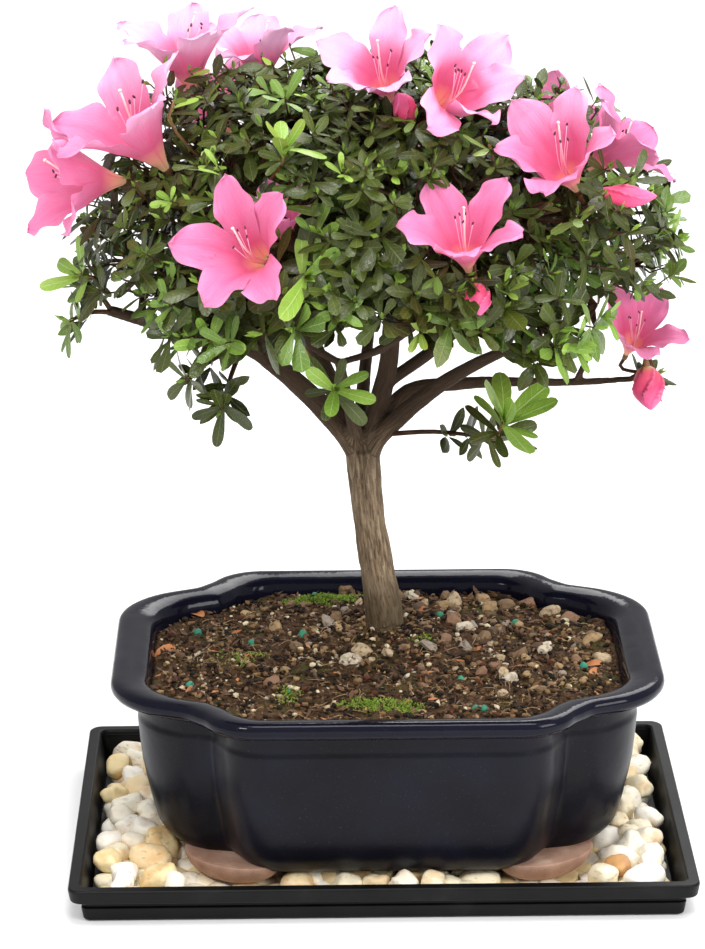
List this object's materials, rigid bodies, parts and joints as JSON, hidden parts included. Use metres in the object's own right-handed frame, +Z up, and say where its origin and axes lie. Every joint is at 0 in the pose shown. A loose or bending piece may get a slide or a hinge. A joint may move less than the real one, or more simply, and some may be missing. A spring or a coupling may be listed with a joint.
{
  "type": "satsuki azalea bonsai",
  "caption": "Miniature azalea tree in bloom in a lobed glazed pot, standing on pebbles in a low humidity tray.",
  "frame": {"origin": "centre of the tray's underside, where the part rests", "axes": "+X to the right along the tray's long side, +Y to the back, away from the viewer, +Z up along the trunk"},
  "size_m": [0.31, 0.2442, 0.3987],
  "materials": {
    "tray": "satin",
    "pebble": "satin",
    "pot_glaze": "gloss",
    "drain_mesh": "matte",
    "soil": "matte",
    "bark": "matte",
    "leaf": "satin",
    "young_leaf": "satin",
    "petal": "matte",
    "bud": "matte"
  },
  "bodies": {
    "root": {"bloom_back_centre": "petal", "bloom_back_left": "petal", "bloom_back_right": "petal", "bloom_far_left": "petal", "bloom_front_centre": "petal", "bloom_front_left": "petal", "bloom_front_left_rear": "petal", "bloom_low_right": "petal", "bloom_right_rear": "petal", "bloom_right_upper": "petal", "bloom_top_centre": "petal", "bloom_top_left": "petal", "bloom_top_rear": "petal", "bloom_top_right": "petal", "bloom_upper_left": "petal", "bud_1": "bud", "bud_2": "bud", "bud_3": "bud", "bud_4": "bud", "drain_screen_left": "drain_mesh", "drain_screen_right": "drain_mesh", "foliage_01": "leaf", "foliage_02": "leaf", "foliage_03": "leaf", "foliage_04": "leaf", "foliage_05": "leaf", "foliage_06": "leaf", "foliage_07": "leaf", "foliage_08": "leaf", "foliage_09": "leaf", "foliage_10": "leaf", "foliage_11": "leaf", "foliage_12": "leaf", "foliage_13": "leaf", "foliage_14": "leaf", "new_shoot_1": "young_leaf", "new_shoot_10": "young_leaf", "new_shoot_11": "young_leaf", "new_shoot_2": "young_leaf", "new_shoot_3": "young_leaf", "new_shoot_4": "young_leaf", "new_shoot_5": "young_leaf", "new_shoot_6": "young_leaf", "new_shoot_7": "young_leaf", "new_shoot_8": "young_leaf", "new_shoot_9": "young_leaf", "pebbles": "pebble", "pot": "pot_glaze", "soil": "soil", "spray_left_end": "leaf", "spray_low_left": "leaf", "spray_low_right": "leaf", "spray_right_end": "leaf", "tray": "tray", "trunk_and_branches": "bark"}
  },
  "joints": []
}
